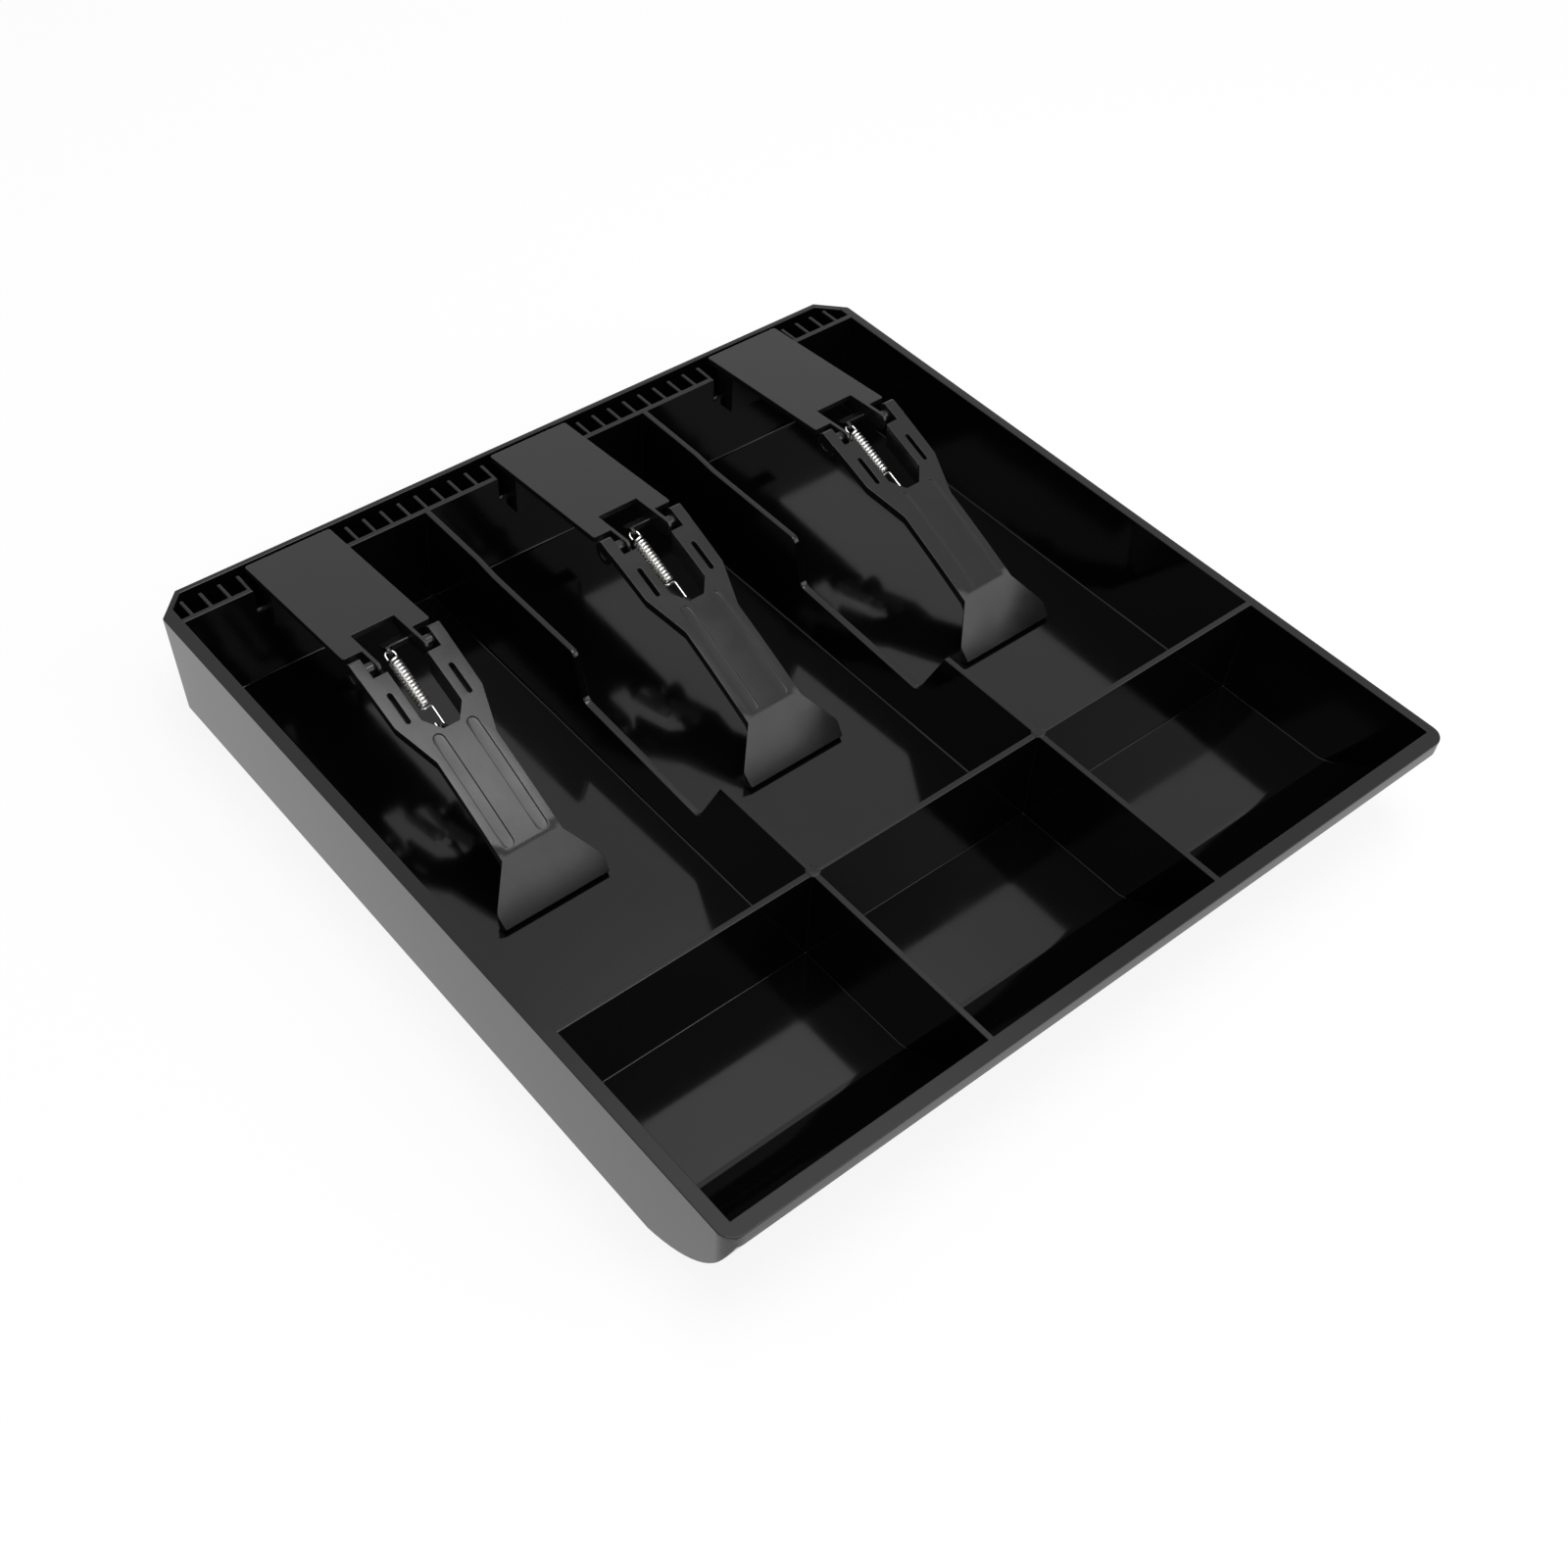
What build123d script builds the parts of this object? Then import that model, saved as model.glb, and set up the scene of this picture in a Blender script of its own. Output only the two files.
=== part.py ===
from build123d import *
import math
import os

# A cash drawer tray: three note bays, each with a sprung hold-down clip, and three scooped coin
# bins in front of them. Lengths are millimetres and angles degrees. The origin is in the middle
# of the underside, +X to the right, +Y to the rear and +Z up.

overrun = 1.0                   # how far a cutting shape runs past the face that it opens
touch = 0.2                     # how far two shapes of one moulding run into each other

# Tray, outside
tray_width = 245.0
tray_length = 250.0
tray_height = 33.5
outer_draft = 1.2               # each outer face leans in this much from the rim to the underside
rear_corner_chamfer = 8.0
front_corner_radius = 4.5
front_lip_height = 4.6          # the straight lip above the scooped front
front_lip_step = 0.6            # how far the lip stands out past the scoop
scoop_run = 29.5                # from the front of the rim back to the flat underside
outer_scoop_radius = 42.0

# Tray, inside
left_rim = 4.0
right_rim = 2.8
front_rim = 4.5
rear_rim = 1.6
left_wall_lean = 1.5            # how far each inner face leans in between the rim and the floor
right_wall_lean = 3.4
rear_wall_lean = 3.1
wall_draft = 0.55               # the same lean on each face of the dividers and the cross wall
divider_thickness = 1.7         # at the rim
cross_wall_thickness = 1.7
left_bay_width = 76.25          # at the rim
middle_bay_width = 76.1
coin_bin_length = 62.25         # from the inside of the front rim to the cross wall
note_floor_thickness = 2.2
coin_floor_thickness = 4.0
coin_scoop_wall = 4.0           # between the outer scoop and the one inside each coin bin
floor_rounding = 0.5
crossing_bump_size = 3.0        # the small square pad where two walls cross
crossing_bump_height = 0.3

# Cut-out in the top of each divider, measured back from the cross wall, and down from the rim
cutout_front = 34.4             # where the slanted front of the cut-out leaves the rim
cutout_slant = 8.3
cutout_length = 63.0
cutout_drop = 4.5               # how far forward the rounded rear drop runs on its way down
cutout_rear_depth = 15.8
cutout_front_depth = 18.2
cutout_rounding = 2.4
relief_length = 46.0            # the slightly lower stretch of the divider behind the cut-out
relief_slope_run = 8.0
relief_depth = 0.9

# Comb along the rear, which the clips straddle
comb_wall_inset = 11.1          # from the rear face of the tray to the rear face of the comb wall
comb_wall_thickness = 1.6
comb_pitch = 5.75
comb_rib_thickness = 1.2
comb_rib_length = 6.6
comb_first_rib = 3.2            # from the inside of the left rim to the middle of the first rib
comb_gap_half = 11.8            # ribs nearer than this to the middle of a gap are left out
comb_gap_shift = -1.5           # from the middle of a clip to the middle of its gap
comb_gap_depth = 8.0            # how far the comb wall is cut down there

# Clip base: a plate over the rear of the bay, gripping the cut-down comb wall
clip_side_steps = (-1.8, 1.4, 1.9)      # each clip's offset from the middle of its bay
plate_inset = 5.0               # from the rear face of the tray to the plate
plate_length = 51.3
plate_half_width = 13.45
plate_thickness = 2.0
plate_rear_lift = 0.2           # its underside above the rim, at the rear
plate_front_lift = 4.2          # and at its front shoulders
plate_corner_radius = 0.8
notch_half_width = 6.7
notch_length = 7.3              # from the shoulders back into the plate
ear_thickness = 1.1
ear_radius = 3.2
ear_root = 3.0                  # how far the ears run under the plate behind the notch
axis_forward = 5.2              # from the shoulders forward to the hinge axis
axis_under_plate = 2.0          # from the plate's upper face down to the hinge axis
pin_radius = 1.8
pin_clearance = 0.05            # radial, between a pin and its bore
pin_recess = 0.4                # a pin ends this far inside the outer face of the arm
saddle_clearance = 0.6          # between the saddle and the nearest comb ribs
saddle_leg = 3.0                # length of the saddle in front of and behind the comb wall
saddle_depth = 5.0              # how far its legs reach down past the cut edge of the comb wall
tongue_thickness = 1.4
tongue_length = 3.6             # the tongue reaches from the right ear to the middle of the notch
tongue_front_gap = 0.3          # from the middle of the spring's hook back to the tongue's front edge
tongue_rear_fall = 0.8          # how far its upper face falls towards the rear
tongue_bead_radius = 0.45       # of the rounded bead along its front edge

# Clip arm: a sloping fork and shank with a wide folded foot
arm_thickness = 2.5
arm_top_over_axis = 2.9
arm_run = 59.2                  # level distance from the hinge axis to the fold of the foot
fold_over_floor = 13.6          # the fold's upper edge above the floor of the bay, at rest
arm_bow = 1.1                   # how far it bows above a straight line
foot_slope = 48.7
toe_thickness = 1.5             # of the foot's front face, under which its sole is cut level
foot_floor_clearance = 0.3      # between the resting foot and the floor of the bay
prong_rear_half_width = 14.0
prong_front_half_width = 13.6
prong_run = 18.7                # from the hinge axis to where the prongs start to narrow
shoulder_run = 12.4             # from there to the straight shank
shank_rear_half_width = 9.35
shank_front_half_width = 9.5
foot_flare_length = 7.6         # seen from above, from the fold to the foot's widest place
foot_half_width = 16.9
foot_front_half_width = 16.3
foot_corner_radius = 1.5
lug_radius = 3.6
lug_thickness = 3.6
ear_clearance = 1.6             # between the rim of an ear and the arm in front of it
fork_half_width = 6.1
fork_run = 20.0                 # from the hinge axis to the end of the straight fork opening
throat_run = 4.2                # from there to the end of the throat
throat_half_width = 2.5
fork_skirt_start = 5.0          # from the hinge axis to the skirt round the fork opening
fork_skirt_thickness = 1.4
fork_skirt_depth = 7.0          # from the arm's upper face
prong_slot_run = 9.9            # from the hinge axis to the slot in each prong
prong_slot_length = 9.4
prong_slot_width = 1.4
prong_slot_offset = 9.5
groove_run = 24.7               # from the hinge axis to the rear end of each shallow groove
groove_length = 32.6
groove_width = 3.3
groove_offset = 5.2
groove_depth = 0.35

# Extension spring, from the base's tongue to a fin under the arm
anchor_behind_axis = 5.5        # rear hook's hole, from the hinge axis
anchor_under_axis = 3.0
hook_ahead_of_axis = 19.2       # front hook's hole
hook_under_axis = 11.7
wire_diameter = 0.7
coil_radius = 1.55              # at the middle of the wire
coil_pitch = 1.14
coil_turns = 14
rear_leg_length = 0.3           # straight part of the rear hook, from its bend
front_leg_after_coil = 1.2      # where the straight front leg starts, from the last turn
rear_hook_radius = 1.4          # at the middle of the wire
front_hook_radius = 1.05
hook_return_length = 0.9
hook_hole_radius = 0.7
rear_fin_thickness = 1.2
front_fin_thickness = 1.0
fin_radius = 1.5
fin_root_run = 28.0             # from the hinge axis to the middle of the front fin's root
fin_root_half_length = 3.5

arc_shares = (0, 0.5, 1)        # the start, middle and end of the arm's bow

# Places that follow from the sizes above
rear_y = tray_length / 2
front_y = -rear_y
left_inner_x = -tray_width / 2 + left_rim
right_inner_x = tray_width / 2 - right_rim
front_inner_y = front_y + front_rim
cross_front_y = front_inner_y + coin_bin_length
cross_rear_y = cross_front_y + cross_wall_thickness
cross_y = (cross_front_y + cross_rear_y) / 2
comb_rear_y = rear_y - comb_wall_inset
comb_front_y = comb_rear_y - comb_wall_thickness
left_divider_x = left_inner_x + left_bay_width + divider_thickness / 2
right_divider_x = left_divider_x + divider_thickness + middle_bay_width
divider_places = (left_divider_x, right_divider_x)
bay_spans = (
    (left_inner_x, left_divider_x - divider_thickness / 2),
    (left_divider_x + divider_thickness / 2, right_divider_x - divider_thickness / 2),
    (right_divider_x + divider_thickness / 2, right_inner_x),
)
clip_places = [(span[0] + span[1]) / 2 + step for span, step in zip(bay_spans, clip_side_steps)]
shoulder_y = rear_y - plate_inset - plate_length
axis_y = shoulder_y - axis_forward
axis_z = tray_height + plate_front_lift + plate_thickness - axis_under_plate
arm_drop = axis_z + arm_top_over_axis - note_floor_thickness - fold_over_floor
ear_outer_x = notch_half_width + ear_thickness
anchor = (axis_y + anchor_behind_axis, axis_z - anchor_under_axis)
tongue_front_y = anchor[0] + tongue_front_gap
tongue_rear_y = tongue_front_y + tongue_length
tongue_low_z = anchor[1] - tongue_thickness / 2
front_hook_middle = coil_radius - front_hook_radius     # its leg leaves the side of the coil
front_hook = (axis_y - hook_ahead_of_axis, axis_z - hook_under_axis)


def side_face(*edges):
    """A face in the plane of Y and Z from edges or corner points."""
    if isinstance(edges[0], tuple):
        edges = [Polyline(*edges, close=True)]
    return Plane.YZ * make_face(edges)


def side_disc(place, radius):
    """A round face in the plane of Y and Z."""
    return Plane.YZ * Pos(*place) * Circle(radius)


def slab(face, x_from, x_to):
    """A side face drawn out across the tray from one X to another."""
    return Pos(X=x_from) * extrude(face, x_to - x_from, dir=(1, 0, 0))


def block(x_span, y_span, z_span):
    """A plain box between two values on each axis."""
    size = [span[1] - span[0] for span in (x_span, y_span, z_span)]
    middle = [(span[0] + span[1]) / 2 for span in (x_span, y_span, z_span)]
    return Pos(*middle) * Box(*size)


def mirrored_pair(shape):
    """A shape and its mirror image on the other side of the clip's middle plane."""
    return [shape, mirror(shape, about=Plane.YZ)]


# Tray

def outer_body():
    """The drafted block that the tray is cut from."""
    outlines = []
    for height, lean in ((0, outer_draft), (tray_height, 0)):
        outline = Rectangle(tray_width - 2 * lean, tray_length - 2 * lean)
        rows = outline.vertices().group_by(Axis.Y)
        outline = fillet(rows[0], front_corner_radius)
        rows = outline.vertices().group_by(Axis.Y)
        outline = chamfer(rows[-1], rear_corner_chamfer)
        outlines.append(Pos(Z=height) * outline)
    return loft(outlines, ruled=True)


def scoop_ends():
    """The two ends of the outer scoop, at the underside and under the front lip."""
    return (front_y + scoop_run, 0), (front_y + front_lip_step, tray_height - front_lip_height)


def scoop_centre():
    """The common centre of the outer scoop and the scoops inside the coin bins."""
    (low_y, low_z), (high_y, high_z) = scoop_ends()
    span = math.hypot(high_y - low_y, high_z - low_z)
    rise = math.sqrt(outer_scoop_radius ** 2 - (span / 2) ** 2)
    along = ((high_y - low_y) / span, (high_z - low_z) / span)
    middle = ((low_y + high_y) / 2, (low_z + high_z) / 2)
    return middle[0] + rise * along[1], middle[1] - rise * along[0]


def scoop_point(radius, slope):
    """A point on a scoop, the slope being measured from straight down towards the front."""
    centre_y, centre_z = scoop_centre()
    turn = math.radians(slope)
    return centre_y - radius * math.sin(turn), centre_z - radius * math.cos(turn)


def scoop_cut():
    """What is cut away in front of and below the scooped front."""
    low, high = scoop_ends()
    centre_y, centre_z = scoop_centre()
    low_slope = math.degrees(math.atan2(centre_y - low[0], centre_z - low[1]))
    high_slope = math.degrees(math.atan2(centre_y - high[0], centre_z - high[1]))
    middle = scoop_point(outer_scoop_radius, (low_slope + high_slope) / 2)
    outside_y = front_y - overrun
    face = side_face(
        ThreePointArc(low, middle, high),
        Polyline(high, (outside_y, high[1]), (outside_y, -overrun), (low[0], -overrun), low),
    )
    return slab(face, -tray_width, tray_width)


def drafted_pocket(x_span, y_span, x_leans, y_leans, floor_z, rear_cuts=(0, 0)):
    """A pocket given at the rim, whose walls lean in by x_leans and y_leans on the floor."""
    over_share = overrun / (tray_height - floor_z)
    outlines = []
    for height, share in ((floor_z, 1), (tray_height + overrun, -over_share)):
        left, right = x_span[0] + share * x_leans[0], x_span[1] - share * x_leans[1]
        front, rear = y_span[0] + share * y_leans[0], y_span[1] - share * y_leans[1]
        corners = [(left, front), (right, front), (right, rear), (left, rear)]
        if all(rear_cuts):
            corners[2:] = [(right, rear - rear_cuts[1]), (right - rear_cuts[1], rear),
                           (left + rear_cuts[0], rear), (left, rear - rear_cuts[0])]
        outlines.append(Pos(Z=height) * make_face(Polyline(*corners, close=True)))
    return loft(outlines, ruled=True)


def bay_leans(number):
    """How far the left and right walls of a bay or bin lean in."""
    left = left_wall_lean if number == 0 else wall_draft
    right = right_wall_lean if number == len(bay_spans) - 1 else wall_draft
    return left, right


def note_bay(number):
    """The pocket of one note bay, with a rounded floor edge."""
    rows = (cross_rear_y, comb_front_y)
    leans = (wall_draft, wall_draft)
    pocket = drafted_pocket(bay_spans[number], rows, bay_leans(number), leans, note_floor_thickness)
    return fillet(pocket.edges().group_by(Axis.Z)[0], floor_rounding)


def coin_bin(number):
    """The pocket of one coin bin, whose front is scooped like the front of the tray."""
    rows = (front_inner_y, cross_front_y)
    leans = (0, wall_draft)
    pocket = drafted_pocket(bay_spans[number], rows, bay_leans(number), leans, coin_floor_thickness)
    radius = outer_scoop_radius - coin_scoop_wall
    centre_y, centre_z = scoop_centre()
    floor_y = centre_y - math.sqrt(radius ** 2 - (centre_z - coin_floor_thickness) ** 2)
    wall_z = centre_z - math.sqrt(radius ** 2 - (centre_y - front_inner_y) ** 2)
    slopes = [math.degrees(math.atan2(centre_y - y, centre_z - z))
              for y, z in ((floor_y, coin_floor_thickness), (front_inner_y, wall_z))]
    middle = scoop_point(radius, sum(slopes) / len(slopes))
    top_z = tray_height + 2 * overrun
    rear = cross_front_y + overrun
    profile = side_face(
        ThreePointArc((floor_y, coin_floor_thickness), middle, (front_inner_y, wall_z)),
        Polyline((front_inner_y, wall_z), (front_inner_y, top_z), (rear, top_z),
                 (rear, coin_floor_thickness), (floor_y, coin_floor_thickness)),
    )
    return pocket & slab(profile, -tray_width, tray_width)


def comb_channel():
    """The deep channel between the comb wall and the rear wall, cut across the rear corners."""
    rows = (comb_rear_y, rear_y - rear_rim)
    leans = (left_wall_lean, right_wall_lean)
    spare = rear_corner_chamfer - rear_rim + rear_rim * math.sqrt(2)
    cuts = (spare - left_rim, spare - right_rim)
    return drafted_pocket((left_inner_x, right_inner_x), rows, leans, (0, rear_wall_lean),
                          note_floor_thickness, cuts)


def comb_rib_places():
    """The middles of all the ribs that the comb would have without its gaps."""
    first = left_inner_x + comb_first_rib
    count = int((right_inner_x - first) / comb_pitch) + 1
    return [first + number * comb_pitch for number in range(count)]


def in_gap(rib_x):
    """Whether a rib would stand in the gap under a clip."""
    return any(abs(rib_x - clip_x - comb_gap_shift) < comb_gap_half for clip_x in clip_places)


def comb_rib(rib_x):
    """One rib of the comb, from the comb wall to its free tip."""
    half = comb_rib_thickness / 2
    rows = (comb_rear_y - touch, comb_rear_y + comb_rib_length)
    return block((rib_x - half, rib_x + half), rows, (note_floor_thickness - touch, tray_height))


def comb_gap(clip_x):
    """What is cut from the comb wall between the two ribs that border a clip's gap."""
    half = comb_rib_thickness / 2
    kept = [rib_x for rib_x in comb_rib_places() if not in_gap(rib_x)]
    left = max(rib_x for rib_x in kept if rib_x < clip_x) + half
    right = min(rib_x for rib_x in kept if rib_x > clip_x) - half
    rows = (comb_front_y - overrun, comb_rear_y + overrun)
    return block((left, right), rows, (tray_height - comb_gap_depth, tray_height + overrun))


def divider_cut(divider_x):
    """The low passage in a divider, and the slightly lower stretch behind it."""
    front = cross_rear_y + cutout_front
    low_front = front + cutout_slant
    rear = front + cutout_length
    low_rear = rear - cutout_drop
    top = tray_height + overrun
    outline = Polyline(
        (front, top), (front, tray_height), (low_front, tray_height - cutout_front_depth),
        (low_rear, tray_height - cutout_rear_depth), (rear, tray_height - relief_depth),
        (rear + relief_length - relief_slope_run, tray_height - relief_depth),
        (rear + relief_length, tray_height), (rear + relief_length, top), close=True,
    )
    face = side_face(*outline.edges())
    inner = [corner for corner in face.vertices() if corner.Z < tray_height - relief_depth - touch]
    outer = [corner for corner in face.vertices() if abs(corner.Y - rear) < touch]
    face = fillet(inner + outer, cutout_rounding)
    half = divider_thickness / 2 + wall_draft + touch
    return slab(face, divider_x - half, divider_x + half)


def crossing_bump(divider_x):
    """The small pad where a divider crosses the cross wall."""
    half = crossing_bump_size / 2
    return block((divider_x - half, divider_x + half), (cross_y - half, cross_y + half),
                 (tray_height - crossing_bump_height, tray_height + crossing_bump_height))


def tray_shell():
    """The moulded tray."""
    tray = outer_body() - scoop_cut()
    tray -= [comb_channel()]
    for number in range(len(bay_spans)):
        tray -= [note_bay(number), coin_bin(number)]
    tray += [comb_rib(rib_x) for rib_x in comb_rib_places() if not in_gap(rib_x)]
    tray -= [comb_gap(clip_x) for clip_x in clip_places]
    tray -= [divider_cut(divider_x) for divider_x in divider_places]
    return tray + [crossing_bump(divider_x) for divider_x in divider_places]


# Clip base. It is built with the clip's middle plane at X zero and moved to its place afterwards.

def plate_z(y, depth):
    """The height at a given Y of a face of the plate, depth being measured below its upper face."""
    share = (rear_y - plate_inset - y) / plate_length
    lift = plate_rear_lift + share * (plate_front_lift - plate_rear_lift)
    return tray_height + lift + plate_thickness - depth


def plate():
    """The sloping plate with its notch and rounded corners."""
    rear = rear_y - plate_inset
    shape = slab(side_face(
        (rear, plate_z(rear, 0)), (shoulder_y, plate_z(shoulder_y, 0)),
        (shoulder_y, plate_z(shoulder_y, plate_thickness)), (rear, plate_z(rear, plate_thickness)),
    ), -plate_half_width, plate_half_width)
    shape = fillet(shape.edges().filter_by(Axis.Z), plate_corner_radius)
    notch = block((-notch_half_width, notch_half_width),
                  (shoulder_y - overrun, shoulder_y + notch_length),
                  (tray_height, tray_height + plate_front_lift + 2 * plate_thickness))
    return shape - notch


def ear():
    """The right ear beside the notch, which carries a stub pin for the arm."""
    root_y = shoulder_y + notch_length + ear_root
    low_z = axis_z - ear_radius
    web = side_face(
        (axis_y, low_z), (axis_y, axis_z + ear_radius), (root_y, axis_z + ear_radius),
        (root_y, plate_z(root_y, plate_thickness)), (tongue_rear_y, tongue_low_z),
    )
    outline = web + side_disc((axis_y, axis_z), ear_radius)
    front_y_limit = axis_y - 2 * ear_radius
    above = side_face(
        (front_y_limit, plate_z(front_y_limit, 0)), (root_y + overrun, plate_z(root_y + overrun, 0)),
        (root_y + overrun, axis_z + 2 * ear_radius), (front_y_limit, axis_z + 2 * ear_radius),
    )
    return slab(outline - above, notch_half_width, ear_outer_x)


def stub_pin():
    """The right stub pin, from the ear into the bore of the arm's lug."""
    tip_x = prong_rear_half_width - pin_recess
    return slab(side_disc((axis_y, axis_z), pin_radius), ear_outer_x - touch, tip_x)


def comb_wall_front(z):
    """Where the drafted front face of the comb wall is at a height."""
    return comb_front_y - wall_draft * (tray_height - z) / (tray_height - note_floor_thickness)


def saddle():
    """The block under the plate that grips the cut-down comb wall."""
    half = comb_gap_half - comb_rib_thickness / 2 - saddle_clearance
    front, rear = comb_front_y - saddle_leg, comb_rear_y + saddle_leg
    wall_top = tray_height - comb_gap_depth
    low = wall_top - saddle_depth
    inside = plate_thickness / 2
    outline = side_face(
        (front, low), (comb_wall_front(low), low), (comb_wall_front(wall_top), wall_top),
        (comb_rear_y, wall_top),
        (comb_rear_y, low), (rear, low), (rear, plate_z(rear, inside)), (front, plate_z(front, inside)),
    )
    return slab(outline, comb_gap_shift - half, comb_gap_shift + half)


def tongue():
    """The tongue inside the right ear, ending in the fin that the spring hooks into."""
    high_z = tongue_low_z + tongue_thickness
    outline = side_face(
        (tongue_front_y, high_z), (tongue_front_y, tongue_low_z),
        (tongue_rear_y, tongue_low_z), (tongue_rear_y, high_z - tongue_rear_fall),
    )
    outline += side_disc((tongue_front_y + tongue_bead_radius, high_z), tongue_bead_radius)
    half = rear_fin_thickness / 2
    return slab(outline, -half, notch_half_width + touch) + slab(side_disc(anchor, fin_radius), -half, half)


def clip_base():
    """The fixed part of a clip: plate, saddle, ears, stub pins and spring tongue."""
    shape = plate() + saddle() + tongue()
    shape += mirrored_pair(ear()) + mirrored_pair(stub_pin())
    hook_reach = rear_fin_thickness / 2 + wire_diameter
    return shape - slab(side_disc(anchor, hook_hole_radius), -hook_reach, hook_reach)


# Clip arm, drawn in its place at rest, with its foot just above the floor of the bay

def arm_slope(share):
    """The slope of the arm's upper face in radians, at a share of the way from axis to fold."""
    chord = math.hypot(arm_run, arm_drop)
    half_turn = 2 * math.atan(2 * arm_bow / chord)
    return math.atan2(arm_drop, arm_run) + (2 * share - 1) * half_turn


def arm_point(share, depth):
    """A point of the arm at a share of the way from axis to fold, at a depth under its upper face."""
    chord = math.hypot(arm_run, arm_drop)
    bow_radius = chord / 2 / math.sin(arm_slope(1) - arm_slope(1 / 2))
    centre_y = axis_y + bow_radius * math.sin(arm_slope(0))
    centre_z = axis_z + arm_top_over_axis - bow_radius * math.cos(arm_slope(0))
    radius = bow_radius - depth
    return centre_y - radius * math.sin(arm_slope(share)), centre_z + radius * math.cos(arm_slope(share))


def foot_point(distance, depth):
    """A point of the foot, at a distance from the fold and a depth under its upper face."""
    turn = math.radians(foot_slope)
    fold_y, fold_z = arm_point(1, 0)
    return (fold_y - distance * math.cos(turn) + depth * math.sin(turn),
            fold_z - distance * math.sin(turn) - depth * math.cos(turn))


def foot_length(depth):
    """How far the foot runs at a depth under its upper face, down to just above the bay's floor."""
    over_floor = foot_point(0, depth)[1] - note_floor_thickness - foot_floor_clearance
    return over_floor / math.sin(math.radians(foot_slope))


def arm_side():
    """The side outline of the arm, from the hinge axis to the foot."""
    fold_turn = math.radians(foot_slope) - arm_slope(1)
    top = [arm_point(share, 0) for share in arc_shares]
    under = [arm_point(share, arm_thickness) for share in arc_shares]
    inner_fold = foot_point(arm_thickness * math.tan(fold_turn / 2), arm_thickness)
    toe = [foot_point(foot_length(toe_thickness), depth) for depth in (0, toe_thickness)]
    toe.append(foot_point(foot_length(arm_thickness), arm_thickness))
    return side_face(
        ThreePointArc(*top),
        Polyline(top[-1], *toe, inner_fold),
        ThreePointArc(inner_fold, under[1], under[0]),
        Line(under[0], top[0]),
    )


def arm_plan():
    """The outline of the arm and foot seen from above, extruded through its whole height."""
    fold_y = foot_point(0, 0)[0]
    front = foot_point(foot_length(toe_thickness), 0)[0] - overrun
    prong_end = axis_y - prong_run
    right = [
        (prong_rear_half_width, axis_y + overrun), (prong_front_half_width, prong_end),
        (shank_rear_half_width, prong_end - shoulder_run), (shank_front_half_width, fold_y),
        (foot_half_width, fold_y - foot_flare_length), (foot_front_half_width, front),
    ]
    left = [(-x, y) for x, y in reversed(right)]
    face = make_face(Polyline(*right, *left, close=True))
    corners = [corner for corner in face.vertices() if abs(corner.Y - fold_y + foot_flare_length) < touch]
    face = fillet(corners, foot_corner_radius)
    return extrude(face, axis_z + 2 * lug_radius)


def lug():
    """The rounded rear end of the right prong, outside the ear."""
    reach = 2 * lug_radius
    rear, middle, front = (arm_point(share * reach / arm_run, 0) for share in (-1, 0, 1))
    above = side_face(
        ThreePointArc(rear, middle, front),
        Polyline(front, (front[0], rear[1] + reach), (rear[0], rear[1] + reach), rear),
    )
    outline = side_disc((axis_y, axis_z), lug_radius) - above
    return slab(outline, prong_rear_half_width - lug_thickness, prong_rear_half_width)


def fork_opening(spread, rear):
    """The opening between the prongs up to a given Y, spread outwards by a margin."""
    end = axis_y - fork_run
    throat = end - throat_run - spread
    half, throat_half = fork_half_width + spread, throat_half_width + spread
    face = make_face(Polyline(
        (-half, rear), (-half, end), (-throat_half, throat),
        (throat_half, throat), (half, end), (half, rear), close=True,
    ))
    return extrude(face, axis_z + 2 * lug_radius)


def long_hole(width, length, rear, offset):
    """A round-ended opening running forward from a given Y, through the whole height."""
    middle = Pos(offset, rear - length / 2)
    return extrude(middle * SlotOverall(length, width, rotation=90), axis_z + 2 * lug_radius)


def arm_layer(high_depth, low_depth):
    """A layer between two depths under the arm's upper face, from the hinge axis to the fold."""
    low = [arm_point(share, low_depth) for share in arc_shares]
    high = [arm_point(share, high_depth) for share in arc_shares]
    return slab(side_face(
        ThreePointArc(*low), Line(low[-1], high[-1]), ThreePointArc(*reversed(high)), Line(high[0], low[0]),
    ), -prong_rear_half_width, prong_rear_half_width)


def hook_fin():
    """The fin under the shank that carries the front hook of the spring."""
    root_y = axis_y - fin_root_run
    root_share = fin_root_run / arm_run
    root_z = arm_point(root_share, arm_thickness / 2)[1]
    lean = math.tan(arm_slope(root_share)) * fin_root_half_length
    root = Polyline(
        (root_y - fin_root_half_length, root_z - lean), (root_y + fin_root_half_length, root_z + lean),
    )
    outline = Plane.YZ * make_hull([*(Pos(*front_hook) * Circle(fin_radius)).edges(), *root.edges()])
    outline -= side_disc(front_hook, hook_hole_radius)
    return slab(outline, -front_fin_thickness / 2, front_fin_thickness / 2)


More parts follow.
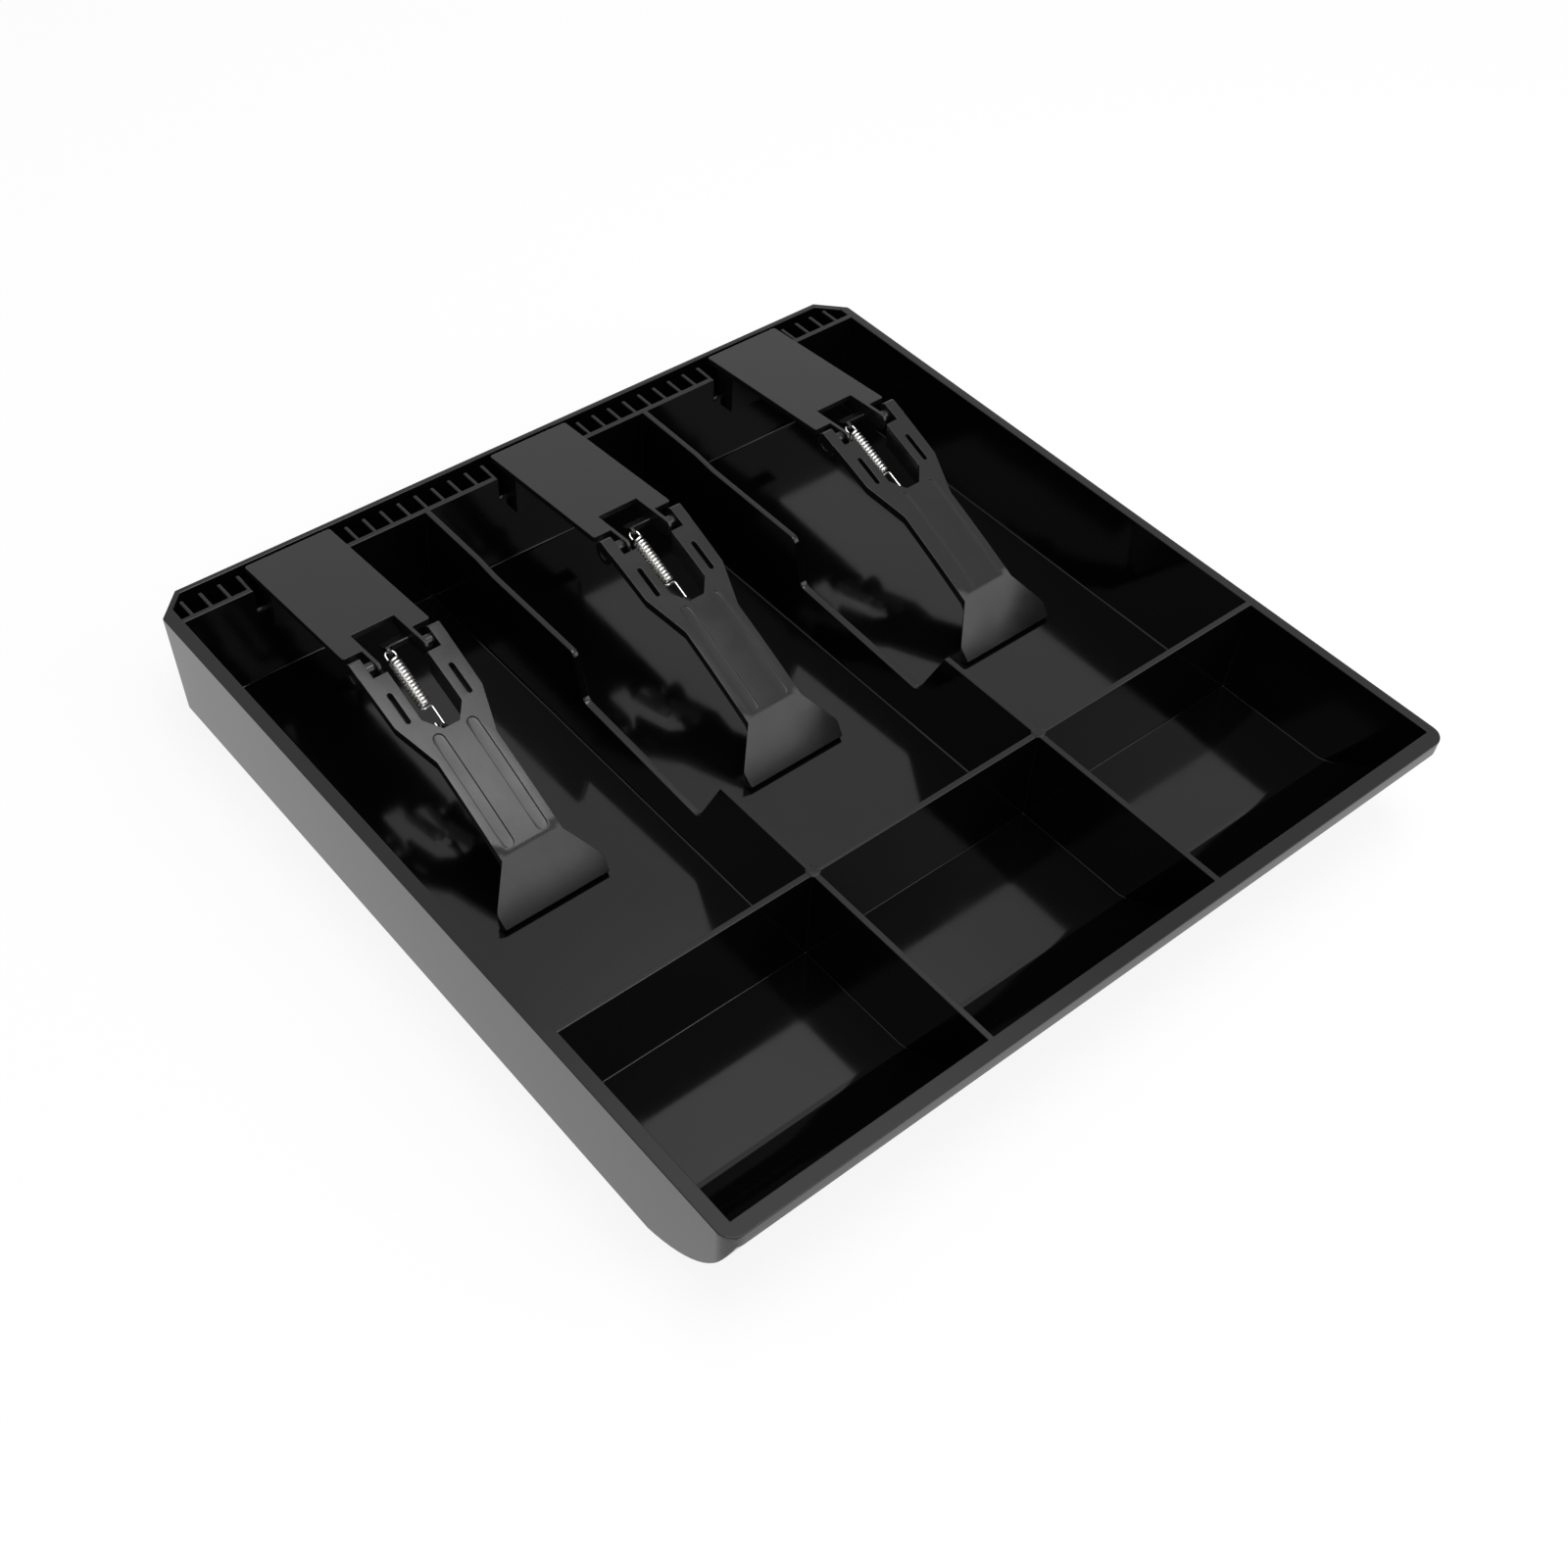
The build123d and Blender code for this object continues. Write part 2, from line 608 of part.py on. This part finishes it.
def clip_arm():
    """The moving part of a clip: fork, skirt, shank, foot, lugs and spring fin."""
    shape = slab(arm_side(), -foot_half_width, foot_half_width) & arm_plan()
    skirt = fork_opening(fork_skirt_thickness, axis_y - fork_skirt_start)
    shape += skirt & arm_layer(arm_thickness / 2, fork_skirt_depth)
    shape -= fork_opening(0, axis_y + overrun)
    bore_radius = pin_radius + pin_clearance
    inner_x = prong_rear_half_width - lug_thickness
    clearing = side_disc((axis_y, axis_z), ear_radius + ear_clearance)
    shape -= slab(clearing, -inner_x, inner_x)
    shape += mirrored_pair(lug())
    shape -= slab(side_disc((axis_y, axis_z), bore_radius), -tray_width, tray_width)
    slot = long_hole(prong_slot_width, prong_slot_length, axis_y - prong_slot_run, prong_slot_offset)
    shape -= mirrored_pair(slot)
    groove = long_hole(groove_width, groove_length, axis_y - groove_run, groove_offset)
    shape -= mirrored_pair(groove & arm_layer(-overrun, groove_depth))
    return shape + hook_fin()


# Extension spring

def biarc(start, start_way, end, end_way):
    """Two tangent arcs that leave start and reach end in the given directions."""
    start, end = Vector(*start), Vector(*end)
    start_way, end_way = Vector(*start_way).normalized(), Vector(*end_way).normalized()
    chord, ways = end - start, start_way + end_way
    square = 2 * (1 - start_way.dot(end_way))
    cross = chord.dot(ways)
    reach = (-cross + math.sqrt(cross ** 2 + square * chord.dot(chord))) / square
    joint = (start + start_way * reach + end - end_way * reach) / 2
    first = Edge.make_tangent_arc(start, start_way, joint)
    return [first, Edge.make_tangent_arc(joint, first % 1, end)]


def hook_edges(middle, radius, bend_place, leg_end):
    """A hook's open end, its half-turn through the fin's hole and its straight leg."""
    way = 1 if leg_end > bend_place else -1
    top = bend_place + way * radius
    near, far = middle + radius, middle - radius
    return [
        Edge.make_line((far, 0, top + way * hook_return_length), (far, 0, top)),
        Edge.make_three_point_arc((far, 0, top), (middle, 0, bend_place), (near, 0, top)),
        Edge.make_line((near, 0, top), (near, 0, leg_end)),
    ]


def spring_path(length):
    """The middle of the wire along Z, from the rear hook's bend at zero to the front one's."""
    turn_rise = coil_pitch / 2
    way_rise = coil_pitch / (2 * math.pi)
    rear_leg_end = rear_hook_radius + rear_leg_length
    coil_start = rear_leg_end + coil_radius
    sides = [1 if half % 2 == 0 else -1 for half in range(2 * coil_turns)]
    coil_end = coil_start + (len(sides) - 1) * turn_rise
    leg_end = coil_end + front_leg_after_coil
    edges = hook_edges(0, rear_hook_radius, 0, rear_leg_end)
    edges += biarc((rear_hook_radius, 0, rear_leg_end), (0, 0, 1),
                   (0, coil_radius, coil_start), (-coil_radius, 0, way_rise))
    for half, side in enumerate(sides[:-1]):
        low = coil_start + half * turn_rise
        edges += biarc((0, side * coil_radius, low), (-side * coil_radius, 0, way_rise),
                       (0, -side * coil_radius, low + turn_rise), (side * coil_radius, 0, way_rise))
    edges += biarc((0, sides[-1] * coil_radius, coil_end), (coil_radius, 0, way_rise),
                   (coil_radius, 0, leg_end), (0, 0, 1))
    front = hook_edges(front_hook_middle, front_hook_radius, length, leg_end)
    edges += [Edge.make_line(front[2] @ 1, front[2] @ 0)]
    edges += [Edge.make_three_point_arc(front[1] @ 1, front[1] @ (1 / 2), front[1] @ 0)]
    edges += [Edge.make_line(front[0] @ 1, front[0] @ 0)]
    return edges


def least_gap(edges):
    """The least distance between turns of the wire that are not neighbours along it."""
    steps = 6
    points, run = [], 0
    for edge in edges:
        points += [(run + edge.length * step / steps, edge @ (step / steps)) for step in range(steps)]
        run += edge.length
    near = 2 * math.pi * coil_radius / 2
    gaps = [(here - there).length
            for number, (at, here) in enumerate(points)
            for other, there in points[number + 1:] if other - at > near]
    return min(gaps) - wire_diameter


def clip_spring():
    """The extension spring, hooked into the tongue's fin and into the arm's fin."""
    run_y, run_z = front_hook[0] - anchor[0], front_hook[1] - anchor[1]
    length = math.sqrt(run_y ** 2 + run_z ** 2 - front_hook_middle ** 2)
    lean = math.degrees(math.atan2(front_hook_middle, length))
    edges = spring_path(length)
    print("least gap between the spring's turns", round(least_gap(edges), 3))
    path = Wire(edges)
    start = Plane(origin=path @ 0, z_dir=path % 0)
    wire = sweep(start * Circle(wire_diameter / 2), path=path)
    place = Plane(origin=(0, *anchor), x_dir=(1, 0, 0), z_dir=(0, run_y, run_z))
    return place * Rot(Y=-lean) * wire


os.makedirs("parts", exist_ok=True)
export_step(tray_shell(), "parts/tray_shell.step")
pieces = {"clip_base": clip_base(), "clip_arm": clip_arm(), "clip_spring": clip_spring()}
for number, clip_x in enumerate(clip_places, start=1):
    for name, piece in pieces.items():
        export_step(Pos(X=clip_x) * piece, f"parts/{name}_{number}.step")
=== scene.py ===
import math

import bmesh
import bpy
from mathutils import Matrix, Vector


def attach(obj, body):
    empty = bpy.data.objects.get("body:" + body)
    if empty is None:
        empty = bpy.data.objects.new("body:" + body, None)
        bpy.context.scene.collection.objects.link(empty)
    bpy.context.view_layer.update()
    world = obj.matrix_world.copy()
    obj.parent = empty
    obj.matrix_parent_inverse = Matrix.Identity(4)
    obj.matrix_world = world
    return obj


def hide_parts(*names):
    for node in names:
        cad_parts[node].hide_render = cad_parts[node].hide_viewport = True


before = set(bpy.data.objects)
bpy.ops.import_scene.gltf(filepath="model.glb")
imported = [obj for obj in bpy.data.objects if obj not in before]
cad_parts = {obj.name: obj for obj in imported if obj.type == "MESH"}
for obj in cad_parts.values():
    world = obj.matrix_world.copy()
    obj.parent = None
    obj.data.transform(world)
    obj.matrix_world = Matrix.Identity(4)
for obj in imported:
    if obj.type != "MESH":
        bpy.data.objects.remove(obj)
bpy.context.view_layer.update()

mm = 0.001
white = (1, 1, 1, 1)
print("frame loaded:", len(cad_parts), "nodes")


# Small helpers

def hexToLinear(code):    # an sRGB hex value as Blender's linear colour
    channels = [int(code[i:i + 2], 16) / 255 for i in (1, 3, 5)]
    linear = [c / 12.92 if c <= 0.04045 else ((c + 0.055) / 1.055) ** 2.4 for c in channels]
    return (*linear, 1.0)


def perMm(size):    # noise scale for a feature of this many millimetres, in object metres
    return 1 / (size * mm)


def addNode(tree, kind, inputs=None, links=None, **settings):
    node = tree.nodes.new(kind)
    for name, value in settings.items():
        setattr(node, name, value)
    for name, value in (inputs or {}).items():
        node.inputs[name].default_value = value
    for name, socket in (links or {}).items():
        tree.links.new(socket, node.inputs[name])
    return node


def newMaterial(name):
    material = bpy.data.materials.new(name)
    material.use_nodes = True
    material.node_tree.nodes.clear()
    return material


def addToScene(name, data):
    thing = bpy.data.objects.new(name, data)
    bpy.context.scene.collection.objects.link(thing)
    return thing


# Materials

def patchyRoughness(tree, place, s):    # duller patches over the surface's own roughness
    first, full = s["patchRange"]
    noise = addNode(tree, "ShaderNodeTexNoise", {
        "Scale": perMm(s["patchSize"]), "Detail": s["patchDetail"],
        "Roughness": s["patchBreakup"]}, {"Vector": place})
    rough = addNode(tree, "ShaderNodeMapRange", {
        "From Min": first, "From Max": full, "To Min": s["roughness"],
        "To Max": s["roughness"] + s["patchRoughness"]}, {"Value": noise.outputs["Fac"]})
    return rough.outputs["Result"]


polystyrene = {
    "colour": "#050506",
    "ior": 1.4,
    "roughness": 0.09,
    "patchSize": 22.0,          # mm across a patch that hands have dulled
    "patchDetail": 5.0,
    "patchBreakup": 0.6,
    "patchRange": (0.4, 0.75),  # noise at which a patch begins and is full
    "patchRoughness": 0.05,     # added in a full patch
    "flowSize": 34.0,           # mm from one swell of the moulded skin to the next
    "flowDetail": 1.0,
    "flowDepth": 0.035,         # mm
}


def highImpactPolystyrene(s):
    # Injection moulded against a polished tool: near black and mirror-like, with a faint
    # swell in its reflections
    material = newMaterial("highImpactPolystyrene")
    tree = material.node_tree
    place = addNode(tree, "ShaderNodeTexCoord").outputs["Object"]
    flow = addNode(tree, "ShaderNodeTexNoise", {
        "Scale": perMm(s["flowSize"]), "Detail": s["flowDetail"]}, {"Vector": place})
    bump = addNode(tree, "ShaderNodeBump", {"Strength": 1.0, "Distance": s["flowDepth"] * mm},
                   {"Height": flow.outputs["Fac"]})
    skin = addNode(tree, "ShaderNodeBsdfPrincipled", {
        "Base Color": hexToLinear(s["colour"]), "IOR": s["ior"]},
        {"Roughness": patchyRoughness(tree, place, s), "Normal": bump.outputs["Normal"]})
    addNode(tree, "ShaderNodeOutputMaterial", links={"Surface": skin.outputs["BSDF"]})
    return material


satinAbs = {
    "colour": "#131314",
    "ior": 1.41,
    "roughness": 0.19,
    "patchSize": 9.0,           # mm across a patch that hands have dulled
    "patchDetail": 4.0,
    "patchBreakup": 0.5,
    "patchRange": (0.35, 0.7),
    "patchRoughness": 0.07,
    "grainSize": 0.45,          # mm, coarser than the real 0.2 so that it shows
    "grainDetail": 2.0,
    "grainDepth": 0.007,        # mm
}


def sparkErodedAbs(s):
    # ABS moulded against a spark-eroded tool: black with an even, fine satin grain
    material = newMaterial("sparkErodedAbs")
    tree = material.node_tree
    place = addNode(tree, "ShaderNodeTexCoord").outputs["Object"]
    grain = addNode(tree, "ShaderNodeTexNoise", {
        "Scale": perMm(s["grainSize"]), "Detail": s["grainDetail"]}, {"Vector": place})
    bump = addNode(tree, "ShaderNodeBump", {"Strength": 1.0, "Distance": s["grainDepth"] * mm},
                   {"Height": grain.outputs["Fac"]})
    skin = addNode(tree, "ShaderNodeBsdfPrincipled", {
        "Base Color": hexToLinear(s["colour"]), "IOR": s["ior"]},
        {"Roughness": patchyRoughness(tree, place, s), "Normal": bump.outputs["Normal"]})
    addNode(tree, "ShaderNodeOutputMaterial", links={"Surface": skin.outputs["BSDF"]})
    return material


springWire = {
    "colour": "#f4f3f0",
    "roughness": 0.24,
    "patchSize": 0.5,           # mm between the faint marks of the drawing die
    "patchDetail": 3.0,
    "patchBreakup": 0.5,
    "patchRange": (0.35, 0.7),
    "patchRoughness": 0.14,
}


def drawnSpringWire(s):
    # Cold drawn spring steel: bright, with faint marks left by the drawing die
    material = newMaterial("drawnSpringWire")
    tree = material.node_tree
    place = addNode(tree, "ShaderNodeTexCoord").outputs["Object"]
    metal = addNode(tree, "ShaderNodeBsdfPrincipled", {
        "Base Color": hexToLinear(s["colour"]), "Metallic": 1.0},
        {"Roughness": patchyRoughness(tree, place, s)})
    addNode(tree, "ShaderNodeOutputMaterial", links={"Surface": metal.outputs["BSDF"]})
    return material


trayPlastic = highImpactPolystyrene(polystyrene)
clipPlastic = sparkErodedAbs(satinAbs)
springSteel = drawnSpringWire(springWire)
print("materials made")


# Pieces: each moulding is a copy of its solid with its sharp edges rounded

def isInside(point, box):
    return all(low < value < high for value, low, high in zip(point, *box))


def weighEdges(shape, s, widest):    # a sharp edge's weight is its share of the widest radius
    weights = shape.edges.layers.float.new("bevel_weight_edge")
    for edge in shape.edges:
        if edge.is_manifold and edge.calc_face_angle() > math.radians(s["sharpAngle"]):
            middle = (edge.verts[0].co + edge.verts[1].co) / 2 / mm
            onRib = "ribBox" in s and isInside(middle, s["ribBox"])
            edge[weights] = (s["ribRadius"] if onRib else s["edgeRadius"]) / widest


def softenedCopy(node, name, s, material):
    shape = bmesh.new()
    shape.from_mesh(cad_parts[node].data)
    bmesh.ops.remove_doubles(shape, verts=shape.verts, dist=s["mergeDistance"] * mm)
    bmesh.ops.dissolve_limit(shape, angle_limit=math.radians(s["flatAngle"]),
                             verts=shape.verts, edges=shape.edges)
    widest = max(s["edgeRadius"], s.get("ribRadius", 0))
    weighEdges(shape, s, widest)
    mesh = bpy.data.meshes.new(name)
    shape.to_mesh(mesh)
    shape.free()
    mesh.materials.append(material)
    for face in mesh.polygons:
        face.use_smooth = True
    piece = addToScene(name, mesh)
    bevel = piece.modifiers.new("softEdges", "BEVEL")
    bevel.width = widest * mm
    bevel.segments = s["edgeSegments"]
    bevel.limit_method = "WEIGHT"
    bevel.use_clamp_overlap = False
    flat = piece.modifiers.new("flatFaces", "WEIGHTED_NORMAL")
    flat.mode = "FACE_AREA"
    flat.weight = s["flatWeight"]
    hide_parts(node)
    return piece


trayShape = {
    "mergeDistance": 0.002,     # mm
    "flatAngle": 0.5,           # degrees, below which neighbouring faces become one
    "sharpAngle": 30,           # degrees, above which the edge between two faces is rounded
    "edgeRadius": 0.25,         # mm
    "edgeSegments": 2,
    "flatWeight": 100,          # large faces keep their flat shading
    "ribRadius": 0.5,           # mm, for the tops of the comb's ribs
    "ribBox": ((-117, 114.2, 33), (118, 120.7, 34)),    # mm, where those tops are
}

tray = softenedCopy("tray_shell", "trayMoulding", trayShape, trayPlastic)
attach(tray, "tray")
print("tray done")

clipShape = {
    "mergeDistance": 0.002,     # mm
    "flatAngle": 0.5,
    "sharpAngle": 30,
    "edgeRadius": 0.16,         # mm
    "edgeSegments": 2,
    "flatWeight": 100,
}

for number in (1, 2, 3):
    for part, body in (("base", "tray"), ("arm", f"clip_arm_{number}")):
        piece = softenedCopy(f"clip_{part}_{number}", f"clip{part.capitalize()}{number}",
                             clipShape, clipPlastic)
        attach(piece, body)
    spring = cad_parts[f"clip_spring_{number}"]
    spring.data.materials.clear()
    spring.data.materials.append(springSteel)
print("clips done")


# Stage

photoView = {
    "lens": 47.487,             # mm, as is the sensor
    "sensor": 36.0,
    "nearest": 10.0,            # mm from the camera to the first thing that it shows
    "azimuth": -42.94,          # degrees, as are elevation and roll
    "elevation": 47.36,
    "roll": 4.05,
    "distance": 525.48,         # mm from the camera to the point that it looks at
    "target": (-28.37, -30.83, 33.5),
}


def makeCamera(s):
    azimuth, elevation, roll = (math.radians(s[key]) for key in ("azimuth", "elevation", "roll"))
    back = Vector((math.sin(azimuth) * math.cos(elevation),
                   -math.cos(azimuth) * math.cos(elevation), math.sin(elevation)))
    level = (-back).cross(Vector((0, 0, 1))).normalized()
    up = level.cross(-back)
    right = level * math.cos(roll) + up * math.sin(roll)
    turned = Matrix((right, back.cross(right), back)).transposed()
    place = (Vector(s["target"]) + back * s["distance"]) * mm
    data = bpy.data.cameras.new("camera")
    data.lens = s["lens"]
    data.sensor_width = s["sensor"]
    data.clip_start = s["nearest"] * mm
    camera = addToScene("camera", data)
    camera.matrix_world = Matrix.Translation(place) @ turned.to_4x4()
    bpy.context.scene.camera = camera


def seenDirectly(tree):    # 1 for camera, glossy and transmission rays
    ray = addNode(tree, "ShaderNodeLightPath").outputs
    either = addNode(tree, "ShaderNodeMath", links={
        0: ray["Is Camera Ray"], 1: ray["Is Glossy Ray"]}, operation="MAXIMUM")
    anyOfThem = addNode(tree, "ShaderNodeMath", links={
        0: either.outputs[0], 1: ray["Is Transmission Ray"]}, operation="MAXIMUM")
    return anyOfThem.outputs[0]


room = {
    "light": 0.55,              # strength of the white that matt surfaces are lit by
    "ceilingGlow": 0.95,        # soft bright patch of ceiling over the front of the tray
    "ceilingWay": (0.36, 0.32, 0.88),
    "ceilingEdge": 0.975,       # cosine of the angle at which that patch has faded away
}


def makeRoom(s):
    world = bpy.data.worlds.new("whiteRoom")
    world.use_nodes = True
    tree = world.node_tree
    tree.nodes.clear()
    # White where it is seen or mirrored, and dimmer where it only lights
    plain = addNode(tree, "ShaderNodeMapRange", {"To Min": s["light"], "To Max": 1.0},
                    {"Value": seenDirectly(tree)})
    # The bright patch of ceiling lights and is mirrored, and the camera doesn't see it
    way = addNode(tree, "ShaderNodeTexCoord").outputs["Generated"]
    near = addNode(tree, "ShaderNodeVectorMath", {1: Vector(s["ceilingWay"]).normalized()},
                   {0: way}, operation="DOT_PRODUCT")
    patch = addNode(tree, "ShaderNodeMapRange", {
        "From Min": s["ceilingEdge"], "From Max": 1.0, "To Min": 0.0, "To Max": s["ceilingGlow"]},
        {"Value": near.outputs["Value"]}, interpolation_type="SMOOTHSTEP")
    ray = addNode(tree, "ShaderNodeLightPath").outputs
    unseen = addNode(tree, "ShaderNodeMath", {0: 1.0}, {1: ray["Is Camera Ray"]},
                     operation="SUBTRACT")
    glow = addNode(tree, "ShaderNodeMath", links={
        0: patch.outputs["Result"], 1: unseen.outputs[0]}, operation="MULTIPLY")
    total = addNode(tree, "ShaderNodeMath", links={
        0: plain.outputs["Result"], 1: glow.outputs[0]}, operation="ADD")
    light = addNode(tree, "ShaderNodeBackground", {"Color": white},
                    {"Strength": total.outputs[0]})
    addNode(tree, "ShaderNodeOutputWorld", links={"Surface": light.outputs["Background"]})
    bpy.context.scene.world = world


paleFloor = {
    "size": 24.0,               # metres
    "colour": "#f8f8f8",
    "glow": 0.87,               # share of its white that is seen without light on it
}


def makeFloor(s):
    shape = bmesh.new()
    bmesh.ops.create_grid(shape, x_segments=1, y_segments=1, size=s["size"] / 2)
    mesh = bpy.data.meshes.new("floor")
    shape.to_mesh(mesh)
    shape.free()
    floor = addToScene("floor", mesh)
    material = newMaterial("paleFloor")
    tree = material.node_tree
    matt = addNode(tree, "ShaderNodeBsdfDiffuse", {"Color": hexToLinear(s["colour"])})
    glow = addNode(tree, "ShaderNodeEmission", {"Color": white, "Strength": 1.0})
    share = addNode(tree, "ShaderNodeMath", {1: s["glow"]}, {0: seenDirectly(tree)},
                    operation="MULTIPLY")
    mixed = addNode(tree, "ShaderNodeMixShader", links={
        0: share.outputs[0], 1: matt.outputs[0], 2: glow.outputs[0]})
    addNode(tree, "ShaderNodeOutputMaterial", links={"Surface": mixed.outputs[0]})
    mesh.materials.append(material)


lamps = {    # watts, and size and place in metres; each lamp faces the middle of the tray
    "softbox": {"power": 4.4, "size": 0.5, "place": (0.06, -0.12, 0.95)},
    "frontBox": {"power": 5.0, "size": 0.9, "place": (0.62, -0.85, 0.55)},
}


def makeLamp(name, s):
    data = bpy.data.lights.new(name, "AREA")
    data.energy = s["power"]
    data.size = s["size"]
    lamp = addToScene(name, data)
    lamp.location = s["place"]
    lamp.rotation_euler = (-Vector(s["place"])).to_track_quat("-Z", "Y").to_euler()


makeCamera(photoView)
makeRoom(room)
makeFloor(paleFloor)
for name in lamps:
    makeLamp(name, lamps[name])
bpy.context.scene.view_settings.view_transform = "Standard"
print("stage done")
